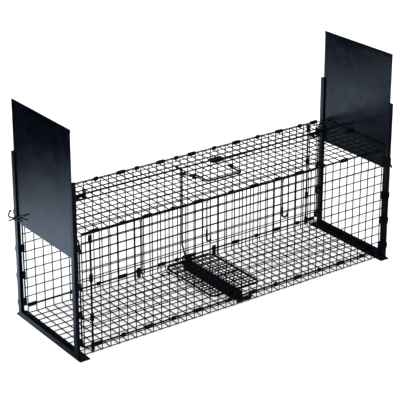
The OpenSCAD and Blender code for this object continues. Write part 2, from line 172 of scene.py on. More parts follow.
def arc(centre, radius, first, last, steps=12, u=(1, 0, 0), v=(0, 1, 0)):
    """Points on an arc round the centre, from angle first to last in degrees, from u toward v."""
    centre, u, v = Vector(centre), Vector(u), Vector(v)
    angles = [math.radians(first + (last - first) * i / steps) for i in range(steps + 1)]
    return [centre + (u * math.cos(a) + v * math.sin(a)) * radius for a in angles]


def skin_rings(bm, rings, closed):
    """Quads between one ring of vertices and the next, with flat end caps unless closed."""
    count = len(rings[0])
    for one, two in zip(rings, rings[1:] + (rings[:1] if closed else [])):
        for j in range(count):
            k = (j + 1) % count
            bm.faces.new((one[j], one[k], two[k], two[j]))
    if not closed:
        bm.faces.new(rings[0][::-1])
        bm.faces.new(rings[-1])


def tube(bm, path, radius, sides=10, closed=False):
    """A round wire along the path, with softly rounded ends."""
    path = [Vector(p) for p in path]
    scales = [1.0] * len(path)
    if not closed:
        soft = radius * 0.35
        head = path[0] + (path[1] - path[0]).normalized() * soft
        tail = path[-1] + (path[-2] - path[-1]).normalized() * soft
        path = [path[0], head, *path[1:-1], tail, path[-1]]
        scales = [0.6, 1.0, *scales[1:-1], 1.0, 0.6]
    last = len(path) - 1
    rings, normal = [], None
    for i, centre in enumerate(path):
        after = path[(i + 1) % len(path)] if closed else path[min(i + 1, last)]
        tangent = (after - path[i - 1 if closed else max(i - 1, 0)]).normalized()
        normal = normal or tangent.orthogonal()
        normal = (normal - tangent * normal.dot(tangent)).normalized()
        across = tangent.cross(normal)
        ring = []
        for j in range(sides):
            a = 2 * math.pi * j / sides
            spoke = normal * math.cos(a) + across * math.sin(a)
            ring.append(bm.verts.new(centre + spoke * (radius * scales[i])))
        rings.append(ring)
    skin_rings(bm, rings, closed)


def turned(bm, base, axis, profile, sides=20):
    """A round solid on an axis: profile holds (height, radius) from one end to the other."""
    base, axis = Vector(base), Vector(axis).normalized()
    normal = axis.orthogonal().normalized()
    across = axis.cross(normal)
    rings = []
    for height, radius in profile:
        centre = base + axis * height
        angles = [2 * math.pi * j / sides for j in range(sides)]
        rings.append([
            bm.verts.new(centre + (normal * math.cos(a) + across * math.sin(a)) * radius)
            for a in angles
        ])
    skin_rings(bm, rings, False)


def strap(bm, line, thickness, place, start, stop, steps=1):
    """Sheet bent along a flat line of (a, b) points. place(a, b, w) is its point in space,
    with w going from start to stop across the strip."""
    line = [Vector((p[0], p[1])) for p in line]
    outer, inner = [], []
    for i, p in enumerate(line):
        ahead = (line[min(i + 1, len(line) - 1)] - p).normalized()
        behind = (p - line[max(i - 1, 0)]).normalized()
        ahead = ahead if ahead.length else behind
        behind = behind if behind.length else ahead
        mitre = (ahead + behind).normalized()
        reach = thickness / 2 / max(mitre.dot(ahead), 0.5)
        normal = Vector((-mitre.y, mitre.x)) * reach
        outer.append(p + normal)
        inner.append(p - normal)
    outline = outer + inner[::-1]
    rings = []
    for i in range(steps + 1):
        w = start + (stop - start) * i / steps
        rings.append([bm.verts.new(place(p.x, p.y, w)) for p in outline])
    for one, two in zip(rings, rings[1:]):
        for j in range(len(outline)):
            k = (j + 1) % len(outline)
            bm.faces.new((one[j], one[k], two[k], two[j]))
    last = len(outline) - 1
    for ring in (rings[0][::-1], rings[-1]):
        for j in range(len(line) - 1):
            bm.faces.new((ring[j], ring[j + 1], ring[last - j - 1], ring[last - j]))


def circle(x, y, radius, count=24):
    """A round outline in the plane."""
    return [(p.x, p.y) for p in arc((x, y, 0), radius, 0, 360 - 360 / count, count - 1)]


def rectangle(low, high, radius, steps=4):
    """A rectangle's outline with round corners."""
    (x0, y0), (x1, y1), outline = low, high, []
    corners = ((x1, y1, 0), (x0, y1, 90), (x0, y0, 180), (x1, y0, 270))
    for x, y, first in corners:
        sx, sy = (-1 if x == x1 else 1), (-1 if y == y1 else 1)
        centre = (x + sx * radius, y + sy * radius, 0)
        outline += [(p.x, p.y) for p in arc(centre, radius, first, first + 90, steps)]
    return outline


def plate(bm, outline, holes, thickness, matrix, fold=None):
    """Flat sheet with real holes, from z = 0 up to its thickness, put in place by the matrix.
    fold = (x, radius) turns what lies beyond x upward by a right angle."""
    flat = bmesh.new()
    for loop in (outline, *holes):
        verts = [flat.verts.new((p[0], p[1], 0)) for p in loop]
        for a, b in zip(verts, verts[1:] + verts[:1]):
            flat.edges.new((a, b))
    bmesh.ops.triangle_fill(flat, use_beauty=True, edges=flat.edges[:], normal=(0, 0, 1))
    if fold:
        length = fold[1] * math.pi / 2
        for i in range(5):
            geometry = flat.verts[:] + flat.edges[:] + flat.faces[:]
            bmesh.ops.bisect_plane(flat, geom=geometry, dist=1e-4,
                                   plane_co=(fold[0] + length * i / 4, 0, 0), plane_no=(1, 0, 0))
    made = bmesh.ops.extrude_face_region(flat, geom=flat.faces[:])["geom"]
    raised = [v for v in made if isinstance(v, bmesh.types.BMVert)]
    bmesh.ops.translate(flat, verts=raised, vec=(0, 0, thickness))
    if fold:
        fold_up(flat, fold[0], fold[1], thickness / 2)
    bmesh.ops.recalc_face_normals(flat, faces=flat.faces[:])
    flat.transform(matrix)
    add_to(bm, flat)


def fold_up(bm, start, radius, middle):
    """Bends the sheet upward past x = start, round an arc at its middle layer."""
    length = radius * math.pi / 2
    for v in bm.verts:
        along = v.co.x - start
        if along > 0:
            angle = min(along, length) / radius
            spoke = radius - (v.co.z - middle)
            beyond = max(along - length, 0)
            v.co.x = start + spoke * math.sin(angle) + beyond * math.cos(angle)
            v.co.z = middle + radius - spoke * math.cos(angle) + beyond * math.sin(angle)


def add_to(bm, other):
    """Moves one bmesh's shape into another."""
    mesh = bpy.data.meshes.new("part")
    other.to_mesh(mesh)
    other.free()
    bm.from_mesh(mesh)
    bpy.data.meshes.remove(mesh)


def nugget(bm, centre, axis, radius, half):
    """A small rounded lump, such as the coated weld where two wires cross."""
    tip = 0.45 * radius
    profile = ((0, tip), (0.5 * half, radius), (1.5 * half, radius), (2 * half, tip))
    turned(bm, Vector(centre) - Vector(axis) * half, axis, profile, 6)


def weld(bm, centre, size, rng):
    """An uneven bead of weld metal under the coating."""
    made = bmesh.ops.create_icosphere(bm, subdivisions=2, radius=1.0)
    shift = Vector((rng.uniform(-9, 9), rng.uniform(-9, 9), rng.uniform(-9, 9)))
    for v in made["verts"]:
        swell = 1 + 0.35 * noise.noise(v.co * 1.7 + shift)
        v.co = Vector(centre) + Vector([v.co[i] * size[i] * swell for i in range(3)])


def piece(name, node, bm, turn=False, bevel=0.0):
    """Shows the shape in place of the CAD node, on its body and with its finish."""
    if turn:
        bm.transform(Matrix.Rotation(math.pi, 4, "Z"))
    bm.transform(Matrix.Scale(MM, 4))
    bmesh.ops.recalc_face_normals(bm, faces=bm.faces[:])
    mesh = bpy.data.meshes.new(name)
    bm.to_mesh(mesh)
    bm.free()
    mesh.shade_smooth()
    mesh.set_sharp_from_angle(angle=math.radians(42))
    slot = SLOT_OF[node]
    mesh.materials.append(MATERIALS[slot])
    obj = bpy.data.objects.new(name, mesh)
    bpy.context.scene.collection.objects.link(obj)
    if bevel:
        edge = obj.modifiers.new("edges", "BEVEL")
        edge.width = bevel * MM
        edge.segments = 2
        edge.limit_method = "ANGLE"
        edge.angle_limit = math.radians(55)
    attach(obj, BODY_OF[node])
    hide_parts(node)


def show(node, build, bevel=0.0, *args):
    """Builds and shows one CAD node's piece."""
    bm = bmesh.new()
    build(bm, *args)
    piece(node + "_look", node, bm, bevel=bevel)


def show_both_ends(left, right, build, bevel=0.0):
    """Builds a left-end node's piece, and the same shape turned for the right end."""
    for node, seed in ((left, 11), (right, 23)):
        bm = bmesh.new()
        build(bm, random.Random(f"{node}{seed}"))
        piece(node + "_look", node, bm, turn=node == right, bevel=bevel)


# ---- materials ----


class Graph:
    """A short way to write a material's nodes."""

    def __init__(self, name):
        self.material = bpy.data.materials.new(name)
        self.material.use_nodes = True
        self.tree = self.material.node_tree
        self.tree.nodes.clear()

    def add(self, kind, settings=None, **inputs):
        """Adds a node. Inputs are socket names with _ for a space, or in0, in1 for a number."""
        node = self.tree.nodes.new("ShaderNode" + kind)
        for key, value in (settings or {}).items():
            setattr(node, key, value)
        for key, value in inputs.items():
            place = int(key[2:]) if key[:2] == "in" else key.replace("_", " ")
            socket = node.inputs[place]
            if isinstance(value, bpy.types.NodeSocket):
                self.tree.links.new(value, socket)
            else:
                socket.default_value = value
        return node

    def noise(self, where, scale, detail=2.0, rough=0.5):
        """Soft noise from 0 to 1."""
        made = self.add("TexNoise", Vector=where, Scale=scale, Detail=detail, Roughness=rough)
        return made.outputs["Fac"]

    def span(self, value, low, high, to_low=0.0, to_high=1.0):
        """The value's range low to high, mapped to another range and held inside it."""
        made = self.add("MapRange", {"interpolation_type": "SMOOTHSTEP"},
                        in0=value, in1=low, in2=high, in3=to_low, in4=to_high)
        return made.outputs[0]

    def maths(self, operation, a, b):
        """One sum on two values."""
        return self.add("Math", {"operation": operation}, in0=a, in1=b).outputs[0]

    def blend(self, factor, a, b):
        """A mix of two colours."""
        made = self.add("Mix", {"data_type": "RGBA"}, Factor=factor)
        for socket, value in ((made.inputs[6], a), (made.inputs[7], b)):
            if isinstance(value, bpy.types.NodeSocket):
                self.tree.links.new(value, socket)
            else:
                socket.default_value = value
        return made.outputs[2]


def powder_coat(name, dark, light, rough, peel=0.16, wear=0.25, slide=0.0, shine=0.5):
    """Baked powder coating on steel: orange-peel skin, uneven sheen, settled dust on what
    faces up, edges rubbed thin, and upright slide marks where a sheet runs in its channel."""
    dust, dust_colour = 0.05, (0.11, 0.11, 0.11, 1)
    worn_colour, mark_colour = (0.045, 0.048, 0.054, 1), (0.030, 0.034, 0.042, 1)
    g = Graph(name)
    where = g.add("TexCoord").outputs["Object"]
    shape = g.add("NewGeometry")
    broad = g.noise(where, 7.0, 3.0, 0.55)
    patch = g.noise(where, 38.0, 4.0, 0.6)
    skin = g.noise(where, 760.0, 1.5, 0.4)
    grain = g.noise(where, 2900.0, 2.0, 0.6)

    tone = g.span(g.maths("ADD", broad, g.maths("MULTIPLY", skin, 0.35)), 0.45, 0.9)
    colour = g.blend(tone, (*dark, 1), (*light, 1))

    up = g.add("SeparateXYZ", Vector=shape.outputs["Normal"]).outputs["Z"]
    settled = g.maths("MULTIPLY", g.span(up, 0.25, 1.0), g.span(patch, 0.40, 0.68))
    speckle = g.maths("MULTIPLY", g.span(grain, 0.3, 0.7, 0.35, 1.0), dust)
    settled = g.maths("MULTIPLY", settled, speckle)
    colour = g.blend(settled, colour, dust_colour)

    edge = g.span(shape.outputs["Pointiness"], 0.57, 0.66)
    rubbed = g.maths("MULTIPLY", g.maths("MULTIPLY", edge, g.span(patch, 0.46, 0.70)), wear)
    colour = g.blend(rubbed, colour, worn_colour)

    gloss = g.maths("ADD", g.span(broad, 0.3, 0.7, rough - 0.05, rough + 0.05),
                    g.span(patch, 0.35, 0.7, -0.03, 0.04))
    gloss = g.maths("ADD", gloss, g.maths("MULTIPLY", settled, 1.2))
    if slide:
        drawn = g.add("Mapping", Vector=where, Scale=(420.0, 420.0, 3.0)).outputs[0]
        marks = g.maths("MULTIPLY", g.span(g.noise(drawn, 1.0, 3.0, 0.65), 0.60, 0.72), slide)
        marks = g.maths("MULTIPLY", marks, g.span(patch, 0.42, 0.62))
        colour = g.blend(marks, colour, mark_colour)
        gloss = g.maths("ADD", gloss, g.maths("MULTIPLY", marks, 0.25))

    peeled = g.add("Bump", Strength=peel, Distance=0.0004, Height=skin).outputs[0]
    normal = g.add("Bump", Strength=0.12, Distance=0.00008, Height=grain, Normal=peeled).outputs[0]
    shader = g.add("BsdfPrincipled", Base_Color=colour, Roughness=gloss, Normal=normal,
                   Specular_IOR_Level=shine)
    g.add("OutputMaterial", Surface=shader.outputs[0])
    return g.material


def pale_floor():
    """Plain matt white for the studio floor, with a little light of its own."""
    g = Graph("studio_floor")
    shader = g.add("BsdfPrincipled", Base_Color=(0.80, 0.80, 0.80, 1), Roughness=0.9,
                   Emission_Color=(1.0, 1.0, 1.0, 1), Emission_Strength=0.52)
    g.add("OutputMaterial", Surface=shader.outputs[0])
    return g.material


def bounce_glow():
    """The lit ground that the sheet metal mirrors: bright behind and left of the trap, dark
    close behind it, and fading to nothing toward the front and farther out, sooner at the left."""
    g = Graph("studio_bounce")
    where = g.add("TexCoord").outputs["Object"]
    stretch = 1.35
    oval = g.add("Mapping", Vector=where, Scale=(1 / stretch, 1.0, 1.0)).outputs[0]
    reach = g.add("VectorMath", {"operation": "LENGTH"}, in0=oval).outputs["Value"]
    place = g.add("SeparateXYZ", Vector=where)
    beside = g.span(place.outputs["X"], -0.60, -0.30, 1.0, 0.0)
    far = g.maths("ADD", reach, g.maths("MULTIPLY", beside, 0.22))
    glow = g.maths("MULTIPLY", g.span(far, 0.92, 1.58, 1.0, 0.0),
                   g.span(place.outputs["Y"], -0.25, 0.50))
    near = g.span(reach, 0.60, 0.98, 0.15, 1.0)
    glow = g.maths("MULTIPLY", glow, g.maths("MAXIMUM", beside, near))
    strength = g.maths("MULTIPLY", glow, 1.75)
    light = g.add("Emission", Color=(0.64, 0.79, 1.0, 1), Strength=strength)
    g.add("OutputMaterial", Surface=light.outputs[0])
    return g.material


BLACK = (0.0020, 0.0025, 0.0038)
MATERIALS = {
    "mesh_wire": powder_coat("mesh_wire", BLACK, (0.0040, 0.0048, 0.0068), 0.48, shine=0.25),
    "rod_wire": powder_coat("rod_wire", BLACK, (0.0042, 0.0050, 0.0070), 0.42, shine=0.30),
    "clip_steel": powder_coat("clip_steel", BLACK, (0.0046, 0.0054, 0.0074), 0.44,
                              wear=0.4, shine=0.30),
    "bracket_steel": powder_coat("bracket_steel", (0.0026, 0.0034, 0.0052),
                                 (0.0060, 0.0074, 0.0106), 0.42, shine=0.35),
    "frame_coat": powder_coat("frame_coat", (0.0022, 0.0034, 0.0064), (0.0046, 0.0066, 0.0110), 0.30,
                              wear=0.35),
    "door_sheet": powder_coat("door_sheet", (0.0014, 0.0026, 0.0058), (0.0028, 0.0048, 0.0092), 0.22,
                              peel=0.10, slide=0.16),
}


# ---- welded mesh ----


def panel(bm, place, u_range, us, v_range, vs, sway, seed, wire_r=WIRE_R, heavy=()):
    """Welded mesh on place(u, v, w): wires along u at each of vs, crossing wires at each of
    us, an edge wire along both v edges, and a heavier wire at the heavy places."""
    (u0, u1), (v0, v1) = u_range, v_range
    layer = LAYER if wire_r == WIRE_R else 0.0

    def point(u, v, w, wire):
        drift = 0.18 * ripple(u, wire * 60.0, seed + 3)
        return place(u + drift, v + drift, w + sway * ripple(u, v, seed, 260.0))

    stops_u = [u0, *us, u1]
    stops_v = [v0, *vs, v1]
    for k, v in enumerate(vs):
        tube(bm, [point(u, v, layer, k) for u in stops_u], HEAVY_R if v in heavy else wire_r, 8)
    for v in (v0, v1):
        tube(bm, [place(u, v, sway * ripple(u, v, seed, 260.0)) for u in stops_u], EDGE_R, 10)
    for k, u in enumerate(us):
        tube(bm, [point(u, v, -layer, k + 40) for v in stops_v], wire_r, 8)
        for j, v in enumerate(vs):
            axis = place(u, v, 1) - place(u, v, 0)
            nugget(bm, point(u, v, 0, j), axis, wire_r + 0.3, wire_r)


def side_panel(bm, side):
    """Front or rear panel. It runs up to the corner pin at one end."""
    low, high = box_mm("front_panel" if side < 0 else "rear_panel")
    us = [i * CELL for i in range(-19, 20)]
    vs = [i * CELL for i in range(2, 13)]
    panel(bm, lambda u, v, w: Vector((u, side * (SIDE_Y + w), v)), (low.x, high.x), us,
          (low.z + EDGE_R, high.z - EDGE_R), vs, 0.35, 2 if side < 0 else 5,
          heavy=(HEAVY_ROW * CELL,))


def top_panel(bm):
    """Flat mesh between the two side panels."""
    low, high = box_mm("top_panel")
    middle = (low.z + high.z) / 2
    us = [i * CELL for i in range(-19, 20)]
    vs = [i * CELL - SIDE_Y for i in range(1, 11)]
    panel(bm, lambda u, v, w: Vector((u, v, middle + w)), (low.x, high.x), us,
          (low.y + EDGE_R, high.y - EDGE_R), vs, 0.0, 8)


def floor_tray(bm):
    """Floor mesh with its long edges bent up one cell. The crossing wires lie underneath."""
    low, high = box_mm("floor_tray")
    layer = low.z + WIRE_R
    wall = SIDE_Y + LAYER
    ends = (low.x, high.x)
    us = [i * CELL for i in range(-19, 20)]
    stops = [low.x, *us, high.x]
    for k, u in enumerate(us):
        x = u + 0.2 * ripple(u, k * 60.0, 14)
        top = high.z - 0.8
        corners = [(x, -wall, top), (x, -wall, layer), (x, wall, layer), (x, wall, top)]
        tube(bm, rounded(corners, 3.2, 5), WIRE_R, 8)
    rows = [(i * CELL - SIDE_Y, layer + 2 * LAYER) for i in range(1, 11)]
    rows += [(s * (SIDE_Y - 2.4), layer + 2 * LAYER + 0.5) for s in (-1, 1)]
    for k, (y, z) in enumerate(rows):
        tube(bm, [(u, y + 0.18 * ripple(u, k * 60.0, 15), z) for u in stops], WIRE_R, 8)
    for s in (-1, 1):
        tube(bm, [(u, s * SIDE_Y, high.z - EDGE_R) for u in ends], EDGE_R, 10)
    for y, z in rows[:10]:
        for u in us:
            nugget(bm, (u, y, z - LAYER), (0, 0, 1), WIRE_R + 0.3, WIRE_R)


# ---- clips, pins and rods of the cage ----


def sleeve(bm, start, length, y, z, rng):
    """A strap wrapped round two edge wires, one above the other, with its seam inside."""
    half, radius = 1.5, 3.1
    tilt = rng.uniform(-0.12, 0.12)
    line = [(p.x, p.y) for p in arc((0, -half, 0), radius, -120, 0, 6)]
    line += [(p.x, p.y) for p in arc((0, half, 0), radius, 0, 180, 9)]
    line += [(p.x, p.y) for p in arc((0, -half, 0), radius, 180, 232, 4)]
    turn = Matrix.Rotation(tilt, 2)
    line = [turn @ Vector(p) for p in line]
    toward = 1 if y < 0 else -1
    strap(bm, line, 1.5, lambda a, b, w: Vector((w, y + toward * a, z + b)), start, start + length)


def hinge_sleeves(bm, cells, length, z, seed):
    """Sleeves in the listed mesh cells, along the hinge lines on both sides."""
    rng = random.Random(seed)
    for side in (-1, 1):
        for n in cells[side]:
            middle = (n + 0.5) * CELL + rng.uniform(-0.8, 0.8)
            sleeve(bm, middle - length / 2, length, side * SIDE_Y, z, rng)


def upright(bm, node, radius):
    """A straight upright rod that fills a CAD node's box."""
    low, high = box_mm(node)
    x, y = (low.x + high.x) / 2, (low.y + high.y) / 2
    steps = [low.z + (high.z - low.z) * i / 6 for i in range(7)]
    tube(bm, [(x, y, z) for z in steps], radius, 14)


def lock_hooks(bm, rng):
    """Hooks on the panel's end wire, open toward the frame, that the lock rod lies in."""
    radius = 3.9
    for n in RING_CELLS:
        z = (n + 0.5) * CELL - 10
        bow = [(p.x, p.y) for p in arc((-PIN_X, -SIDE_Y, 0), radius, -90, 90, 10)]
        line = [(-PIN_X - 2, -SIDE_Y - radius), *bow, (-PIN_X - 2, -SIDE_Y + radius)]
        strap(bm, line, 1.8, lambda a, b, w: Vector((a, b, w)), z, z + 8)
        tail = [(-PIN_X + radius, -SIDE_Y - 0.2), (-475.2, -SIDE_Y - 0.2)]
        strap(bm, tail, 1.9, lambda a, b, w: Vector((a, b, w)), z + 0.6, z + 7.4)
        weld(bm, (-475.6, -SIDE_Y, z + 4), (1.7, 1.5, 3.2), rng)


def saddle(bm, centre, out, along, length, radius, rng):
    """A strap over a rod, with both legs back to the panel. out points away from the panel."""
    out, along = Vector(out), Vector(along)
    side = along.cross(out)
    bow = [(p.x, p.y) for p in arc((0, 0, 0), radius, 0, 180, 10)]
    line = [(radius, -2.1), *bow, (-radius, -2.1)]
    centre = Vector(centre)
    strap(bm, line, 1.6, lambda a, b, w: centre + side * a + out * b + along * w, 0, length)
    for s in (-1, 1):
        foot = centre + side * (s * (radius + 0.5)) - out * 2.2
        weld(bm, foot + along * (length / 2), (1.5, 1.1, 1.5), rng)


def panel_rod_clips(bm):
    """Saddles that hold both heavy upright rods against the side panels."""
    rng = random.Random(31)
    for side, node in ((-1, "front_panel_rod"), (1, "rear_panel_rod")):
        low, high = box_mm(node)
        x, y = (low.x + high.x) / 2, (low.y + high.y) / 2
        for z in SADDLE_Z:
            saddle(bm, (x, y, z - SADDLE_H / 2), (0, side, 0), (0, 0, 1), SADDLE_H, 3.8, rng)


def hanging_hooks(bm):
    """Three wires inside the front panel, each hung from an eye and ending in a hook. Two
    have a thick sheath round the hook's bend and a little way up the wire."""
    y, top = -SIDE_Y + 4.4, 318.3
    for x, drop, bend, sheath in ((-306, 171, 5, 0), (-108, 205, 6, 28), (134, 209, 9, 22)):
        z = drop + bend
        hook = arc((x + bend, y, z), bend, 180, 360, 12, v=(0, 0, 1))
        eye = arc((x, y, top - 3.0), 3.0, -50, 250, 12, u=(0, 0, -1), v=(1, 0, 0))
        sway = [(x + 0.8 * ripple(t, x, 6), y, t) for t in (z + 60, z + 30)]
        path = [*eye[::-1], (x, y, top - 9), *sway, *hook, (x + 2 * bend, y, z + bend)]
        tube(bm, rounded(path, 1.0, 2), 1.6, 10)
        if sheath:
            tube(bm, [(x, y, z + sheath), (x, y, z + sheath / 2), *hook], 2.7, 12)


def floor_hooks(bm):
    """Two bent plates outside the rear floor line."""
    low, high = box_mm("rear_floor_hooks")
    y = high.y - 0.85
    line = rounded([(low.y + 0.2, low.z + 0.85, 0), (y, low.z + 0.85, 0), (y, high.z, 0)], 2.2)
    for x in (-139, 112):
        strap(bm, line, 1.6, lambda a, b, w: Vector((w, a, b)), x, x + 12)


# ---- treadle ----


def treadle_mesh(bm):
    """The treadle's own piece of mesh, inside its border wire."""
    low, high = box_mm("treadle_mesh")
    x, y = (low.x + high.x) / 2, (low.y + high.y) / 2
    middle = (low.z + high.z) / 2
    panel(bm, lambda u, v, w: Vector((x + v, y + u, middle - w)), (low.y - y - 1, high.y - y + 1),
          [(i + 0.5) * CELL for i in range(-4, 4)], (low.x - x, high.x - x),
          [i * CELL for i in range(-2, 3)], 0.0, 21, wire_r=TREADLE_WIRE_R)


def treadle_border(bm):
    """One wire round the treadle, bent at its four corners."""
    low, high = box_mm("treadle_border")
    inset, z = 2.5, (low.z + high.z) / 2
    outline = rectangle((low.x + inset, low.y + inset), (high.x - inset, high.y - inset), 14, 7)
    tube(bm, [(x, y, z) for x, y in outline], BORDER_R, 14, closed=True)


def treadle_channel(bm):
    """Channel under the treadle, with a plate at each end. The rear one stands up and has
    the slot for the trip rod."""
    low, high = box_mm("treadle_channel")
    t, left, right, top = SHEET, AXLE_X - 13.0, AXLE_X + 13.0, 33.0
    x0, x1 = left + t / 2, right - t / 2
    line = rounded([(x0, low.z, 0), (x0, top - t / 2, 0), (x1, top - t / 2, 0), (x1, low.z, 0)], 2.4)
    strap(bm, line, t, lambda a, b, w: Vector((a, w, b)), low.y + t + 0.2, high.y - t - 0.2, 6)
    hole = circle(AXLE_X, AXLE_Z, 3.1)
    stand = Matrix.Rotation(math.pi / 2, 4, "X")
    plate(bm, rectangle((left + 0.2, low.z), (right - 0.2, top - 0.4), 1.2), [hole], t,
          Matrix.Translation((0, low.y + t, 0)) @ stand)
    tab = [(left + 0.2, low.z), (right - 0.2, low.z)]
    tab += [(p.x, p.y) for p in arc((right - 3, high.z - 3, 0), 3, 0, 90, 4)]
    tab += [(p.x, p.y) for p in arc((low.x + 3, high.z - 3, 0), 3, 90, 180, 4)]
    tab += [(low.x, top - 8), (left + 0.2, top - 8)]
    slot = rectangle((SLOT_X - 3, SLOT_Z - 6.5), (SLOT_X + 3, SLOT_Z + 3.5), 2.9)
    plate(bm, tab, [hole, slot], t, Matrix.Translation((0, high.y, 0)) @ stand)


def treadle_axle(bm):
    """Round bar through the channel's ends, with chamfered tips."""
    low, high = box_mm("treadle_axle")
    x, z, length = (low.x + high.x) / 2, (low.z + high.z) / 2, high.y - low.y
    profile = ((0, 2.2), (0.8, 3.0), (length / 2, 3.0), (length - 0.8, 3.0), (length, 2.2))
    turned(bm, (x, low.y, z), (0, 1, 0), profile, 20)


def treadle_bearings(bm):
    """A plate on the floor at each end of the axle. The front one has a long arm."""
    rng = random.Random(41)
    low, high = box_mm("treadle_bearings")
    stand = Matrix.Rotation(math.pi / 2, 4, "X")
    left, right = AXLE_X - 9, AXLE_X + 9
    crown = [(p.x, p.y) for p in arc((right - 6, high.z - 6, 0), 6, 0, 90, 6)]
    crown += [(p.x, p.y) for p in arc((left + 6, high.z - 6, 0), 6, 90, 180, 6)]
    arm = [(high.x - 2, low.z), (high.x, low.z + 2), (high.x, low.z + 10)]
    arm += [(high.x - 2, low.z + 12), (right, low.z + 12)]
    for y, side in ((low.y + 2, arm), (high.y, [(right, low.z)])):
        hole = circle(AXLE_X, AXLE_Z, 3.05)
        plate(bm, [(left, low.z), *side, *crown], [hole], 2, Matrix.Translation((0, y, 0)) @ stand)
        for x in (left + 3, right - 3, side[0][0] - 5):
            weld(bm, (x, y - 1, low.z + 0.3), (2.2, 1.7, 1.2), rng)


def treadle_stop(bm):
    """Wire bow that the treadle's left wing rests on, with a ring at its rear foot."""
    low, high = box_mm("treadle_stop")
    r, ring = 1.5, 9
    z0, z1, x = low.z + r + 0.1, high.z - r - 0.15, -74.0
    foot = arc((x + 8, 104 + ring, z0), ring, -90, 240, 22)
    path = rounded([(x + 8, 42, z0), (x, 48, z1), (x, 78, z1), foot[0]], 6, 6)
    tube(bm, path + foot[1:], r, 10)


# ---- trip gear ----


def rod_guide(bm, matrix):
    """A plate on the deck with an upturned tab, bored for a pull rod."""
    t, bend = THIN_SHEET, 1.2
    start = 2 - bend - t / 2
    rise = 16 - t / 2 - bend
    end = start + bend * math.pi / 2 + rise
    outline = [(-30, -21), (start, -21), (start, -8), (end - 2, -8), (end, -6), (end, 7),
               (end - 2, 9), (-30, 9), (-32, 7), (-32, -19)]
    bore = circle(start + bend * math.pi / 2 + 4.1 - t / 2 - bend, 0, 2.7)
    plate(bm, outline, [bore, circle(-16, -12, 4)], t,
          matrix @ Matrix.Translation((0, 0, DECK - ROD_Z)), fold=(start, bend))
    rng = random.Random(43)
    for x, y in ((-31, -20), (-31, 8), (-3, -20.5)):
        weld(bm, matrix @ Vector((x, y, DECK - ROD_Z + 0.3)), (1.6, 1.6, 0.9), rng)


def left_rod_guide(bm):
    """The guide that the left pull rod slides in."""
    rod_guide(bm, Matrix.Translation((LEFT_GUIDE_X, LEFT_ROD_Y, ROD_Z)))


def right_rod_frame():
    """The right pull rod's own frame: its inner end, with +X along the rod."""
    slant = math.atan2(RIGHT_TIP_Y - RIGHT_ROD_Y, TIP_X - LEVER.x)
    return Matrix.Translation((LEVER.x, RIGHT_ROD_Y, ROD_Z)) @ Matrix.Rotation(slant, 4, "Z")


def right_rod_guide(bm):
    """The guide that the right pull rod slides in, square to the rod's slant."""
    rod_guide(bm, right_rod_frame() @ Matrix.Translation((RIGHT_GUIDE_X - LEVER.x, 0, 0)))


def trip_rod_eye(bm):
    """The plate on the deck that the trip rod turns in."""
    plate(bm, rectangle((-81, 15), (-59, 37), 4), [circle(TRIP.x, TRIP.y, 2.6)], THIN_SHEET,
          Matrix.Translation((0, 0, DECK)))


def trip_rod(bm):
    """Upright rod with a crank at each end, and an eye round the left pull rod's stub."""
    corners = [(TRIP.x, LEFT_ROD_Y - 3.6, TRIP.z), tuple(TRIP), (TRIP.x, TRIP.y, TRIP_BEND_Z),
               (SLOT_X, 90, SLOT_Z), (SLOT_X, 108, SLOT_Z)]
    tube(bm, rounded(corners, 6, 6), TRIP_R, 12)
    ring = arc((TRIP.x, LEFT_ROD_Y, TRIP.z), 3.8, 0, 345, 23)
    tube(bm, ring, 1.4, 10, closed=True)


def trip_lever(bm):
    """Flat lever with a hole for its pivot, and a slot on each side of it for a pull rod."""
    reach = LEFT_ROD_Y - LEVER.y
    slots = [rectangle((-2.6, s * reach - 2.7), (2.6, s * reach + 2.7), 1.2) for s in (-1, 1)]
    plate(bm, rectangle((-21, -10.5), (21, 10.5), 4, 6), [circle(0, 0, 2.5), *slots], 1.8,
          Matrix.Translation(LEVER))


def lever_pivot(bm):
    """Foot plate and post with a domed, riveted head."""
    base = Vector((LEVER.x, LEVER.y, DECK))
    plate(bm, rectangle((-15, -7), (15, 7), 3), [], THIN_SHEET, Matrix.Translation(base))
    top = box_mm("lever_pivot")[1].z - DECK
    profile = ((0, 3.2), (1.6, 3.0), (1.8, 2.4), (top - 1.5, 2.4), (top - 1.45, 3.8),
               (top - 0.9, 3.7), (top - 0.3, 2.9), (top, 1.8))
    turned(bm, base, (0, 0, 1), profile, 24)


def pull_rod(bm, matrix, start, stop, stub=None):
    """A pull rod along X with its inner end turned up through the lever."""
    rise = 6.5
    count = 10
    run = [start + (stop - start) * i / count for i in range(count + 1)]
    tube(bm, [matrix @ Vector((x, 0, 0)) for x in run], 2.5, 12)
    toward = 4 if stop > start else -4
    neck = rounded([(1.5 * toward, 0, 0), (0, 0, 0), (0, 0, rise)], 2.6, 5)
    tube(bm, [matrix @ p for p in neck], 2.0, 12)
    if stub:
        tube(bm, [matrix @ Vector((stub, 0, z)) for z in (0, 4, 9)], 2.0, 12)


def left_pull_rod(bm):
    """The straight pull rod, with a stub where the trip rod's eye takes hold."""
    matrix = Matrix.Translation((LEVER.x, LEFT_ROD_Y, ROD_Z))
    pull_rod(bm, matrix, -3.5, -TIP_X - LEVER.x, TRIP.x - LEVER.x)


def right_pull_rod(bm):
    """The slanting pull rod, which stops just short of the right door."""
    reach = math.hypot(TIP_X - LEVER.x, RIGHT_TIP_Y - RIGHT_ROD_Y) - 0.3
    pull_rod(bm, right_rod_frame(), 3.5, reach)


# ---- carrying handle ----


